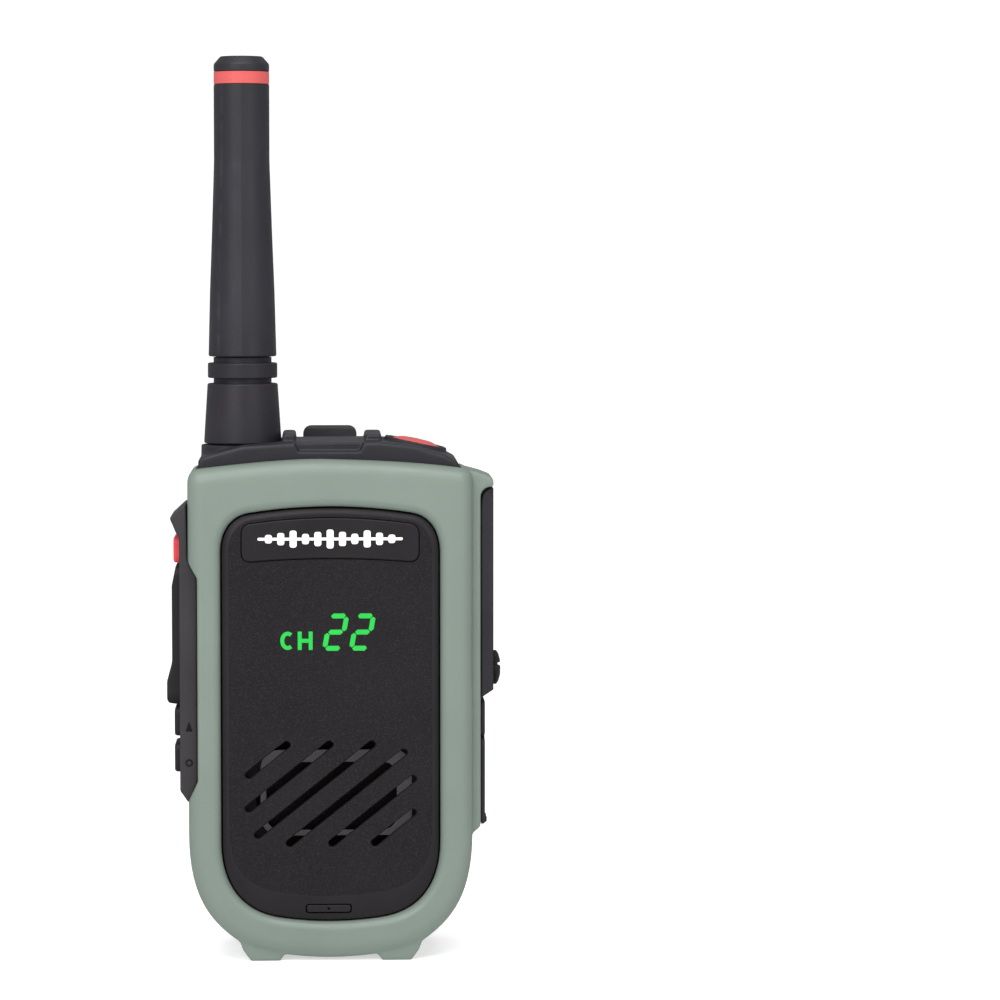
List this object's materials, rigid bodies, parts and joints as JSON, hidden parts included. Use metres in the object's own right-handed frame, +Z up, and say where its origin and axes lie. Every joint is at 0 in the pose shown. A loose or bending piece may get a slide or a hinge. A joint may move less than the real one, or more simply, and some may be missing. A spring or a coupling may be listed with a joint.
{
  "type": "two way radio",
  "caption": "Handheld two way radio with green rubber frame, stub antenna, talk paddle, side covers, removable battery and belt clip.",
  "frame": {"origin": "centre of the bounding box, on the plane the feet stand on", "axes": "+Z up along the antenna, -Y out of the front face, +X to the right seen from the front"},
  "size_m": [0.071, 0.044, 0.192],
  "materials": {
    "bumper_frame": "satin moulded rubber, sage green",
    "front_panel": "fine speckled texture",
    "badge_inlay": "smooth satin",
    "badge_emblem": "white printed relief",
    "microphone_insert": "smooth",
    "light_guide": "translucent, lit green",
    "top_cover": "fine texture",
    "side_control_housing": "satin",
    "ptt_button": "satin rubber",
    "upper_side_button": "satin rubber",
    "lower_side_button": "satin rubber",
    "alert_button": "coral red satin",
    "top_button": "coral red satin",
    "antenna_band": "coral red satin",
    "antenna_whip": "satin rubber",
    "antenna_tip_cap": "satin rubber",
    "antenna_collar": "satin",
    "antenna_jack": "machined",
    "antenna_stud": "machined",
    "thumbscrew_insert": "machined",
    "battery_contact_plus": "machined",
    "battery_contact_minus": "machined",
    "antenna_coil": "copper coloured wire",
    "antenna_seal": "black silicone",
    "battery_seal": "black silicone",
    "side_switch_board": "green solder mask",
    "main_pcb": "green solder mask",
    "ptt_switch": "bright steel",
    "alert_switch": "bright steel",
    "upper_side_switch": "bright steel",
    "lower_side_switch": "bright steel",
    "rf_shield": "bright steel",
    "usb_c_socket": "bright steel",
    "clip_pin": "bright steel",
    "clip_spring": "bright steel",
    "case_screw_1": "bright steel",
    "case_screw_2": "bright steel",
    "case_screw_3": "bright steel",
    "case_screw_4": "bright steel",
    "accessory_connector": "black insulator",
    "contact_block": "black insulator",
    "top_switch": "black insulator",
    "led_display": "black insulator",
    "accessory_cover": "satin",
    "thumbscrew": "black knurled",
    "charge_flap": "soft black rubber",
    "charge_flap_anchor": "soft black rubber",
    "front_case": "black moulded",
    "chassis": "die cast",
    "speaker_frame": "plated",
    "speaker_cone": "coated cone",
    "speaker_magnet": "plated magnet",
    "microphone": "can",
    "battery_case": "fine texture",
    "battery_cover": "fine texture",
    "cell_left": "sleeved cell",
    "cell_right": "sleeved cell",
    "battery_latch": "ribbed",
    "belt_clip_bracket": "satin",
    "belt_clip_lever": "satin"
  },
  "bodies": {
    "radio_body": {"bumper_frame": "bumper_frame", "front_panel": "front_panel", "badge_inlay": "badge_inlay", "badge_emblem": "badge_emblem", "microphone_insert": "microphone_insert", "light_guide": "light_guide", "top_cover": "top_cover", "side_control_housing": "side_control_housing", "antenna_jack": "antenna_jack", "thumbscrew_insert": "thumbscrew_insert", "side_switch_board": "side_switch_board", "main_pcb": "main_pcb", "ptt_switch": "ptt_switch", "alert_switch": "alert_switch", "upper_side_switch": "upper_side_switch", "lower_side_switch": "lower_side_switch", "rf_shield": "rf_shield", "usb_c_socket": "usb_c_socket", "case_screw_1": "case_screw_1", "case_screw_2": "case_screw_2", "case_screw_3": "case_screw_3", "case_screw_4": "case_screw_4", "accessory_connector": "accessory_connector", "contact_block": "contact_block", "top_switch": "top_switch", "led_display": "led_display", "charge_flap_anchor": "charge_flap_anchor", "front_case": "front_case", "chassis": "chassis", "speaker_frame": "speaker_frame", "speaker_cone": "speaker_cone", "speaker_magnet": "speaker_magnet", "microphone": "microphone"},
    "antenna_lift_ring": {"antenna_seal": "antenna_seal"},
    "antenna": {"antenna_whip": "antenna_whip", "antenna_band": "antenna_band", "antenna_tip_cap": "antenna_tip_cap", "antenna_collar": "antenna_collar", "antenna_stud": "antenna_stud", "antenna_coil": "antenna_coil"},
    "top_button": {"top_button": "top_button"},
    "ptt_button": {"ptt_button": "ptt_button"},
    "alert_button": {"alert_button": "alert_button"},
    "upper_side_button": {"upper_side_button": "upper_side_button"},
    "lower_side_button": {"lower_side_button": "lower_side_button"},
    "accessory_cover": {"accessory_cover": "accessory_cover"},
    "thumbscrew": {"thumbscrew": "thumbscrew"},
    "charge_flap": {"charge_flap": "charge_flap"},
    "battery": {"battery_case": "battery_case", "battery_cover": "battery_cover", "battery_contact_plus": "battery_contact_plus", "battery_contact_minus": "battery_contact_minus", "battery_seal": "battery_seal", "cell_left": "cell_left", "cell_right": "cell_right", "belt_clip_bracket": "belt_clip_bracket", "clip_pin": "clip_pin", "clip_spring": "clip_spring"},
    "battery_latch": {"battery_latch": "battery_latch"},
    "belt_clip_lever": {"belt_clip_lever": "belt_clip_lever"}
  },
  "joints": [
    {"name": "antenna_lift", "type": "slide", "parent": "radio_body", "child": "antenna_lift_ring", "axis": [0, 0, 1], "range_m": [0, 0.0028]},
    {"name": "antenna_spin", "type": "hinge", "parent": "antenna_lift_ring", "child": "antenna", "pos_m": [-0.01953, -0.00198, 0.109], "axis": [0, 0, 1], "range_deg": [0, 1440]},
    {"name": "top_button_press", "type": "slide", "parent": "radio_body", "child": "top_button", "axis": [-0.2079, 0, -0.9781], "range_m": [0, 0.0007], "stiffness_N_per_m": 180},
    {"name": "ptt_press", "type": "slide", "parent": "radio_body", "child": "ptt_button", "axis": [1, 0, 0], "range_m": [0, 0.0007], "stiffness_N_per_m": 1200},
    {"name": "alert_press", "type": "slide", "parent": "radio_body", "child": "alert_button", "axis": [1, 0, 0], "range_m": [0, 0.0006], "stiffness_N_per_m": 200},
    {"name": "upper_side_press", "type": "slide", "parent": "radio_body", "child": "upper_side_button", "axis": [1, 0, 0], "range_m": [0, 0.0006], "stiffness_N_per_m": 220},
    {"name": "lower_side_press", "type": "slide", "parent": "radio_body", "child": "lower_side_button", "axis": [1, 0, 0], "range_m": [0, 0.0006], "stiffness_N_per_m": 220},
    {"name": "accessory_cover_swing", "type": "hinge", "parent": "radio_body", "child": "accessory_cover", "pos_m": [0.03386, -0.01058, 0.09775], "axis": [0, -1, 0], "range_deg": [0, 60], "stiffness_Nm_per_rad": 0.05},
    {"name": "thumbscrew_turn", "type": "hinge", "parent": "accessory_cover", "child": "thumbscrew", "pos_m": [0.03402, -0.01058, 0.0615], "axis": [1, 0, 0], "range_deg": [0, 720]},
    {"name": "charge_flap_open", "type": "hinge", "parent": "radio_body", "child": "charge_flap", "pos_m": [0.03207, -0.01048, 0.04705], "axis": [0, -1, 0], "range_deg": [0, 110], "stiffness_Nm_per_rad": 0.004},
    {"name": "battery_tilt", "type": "hinge", "parent": "radio_body", "child": "battery", "pos_m": [-0.00082, 0.00222, 0.008], "axis": [-1, 0, 0], "range_deg": [0, 25], "stiffness_Nm_per_rad": 1.2},
    {"name": "battery_latch_slide", "type": "slide", "parent": "battery", "child": "battery_latch", "axis": [0, 0, -1], "range_m": [0, 0.0025], "stiffness_N_per_m": 150},
    {"name": "belt_clip_open", "type": "hinge", "parent": "battery", "child": "belt_clip_lever", "pos_m": [-0.00082, 0.01662, 0.0755], "axis": [1, 0, 0], "range_deg": [0, 12], "stiffness_Nm_per_rad": 0.8}
  ],
  "couplings": [
    {"joint": "antenna_spin", "follows": "antenna_lift", "rad_per_m": 8975.9}
  ]
}
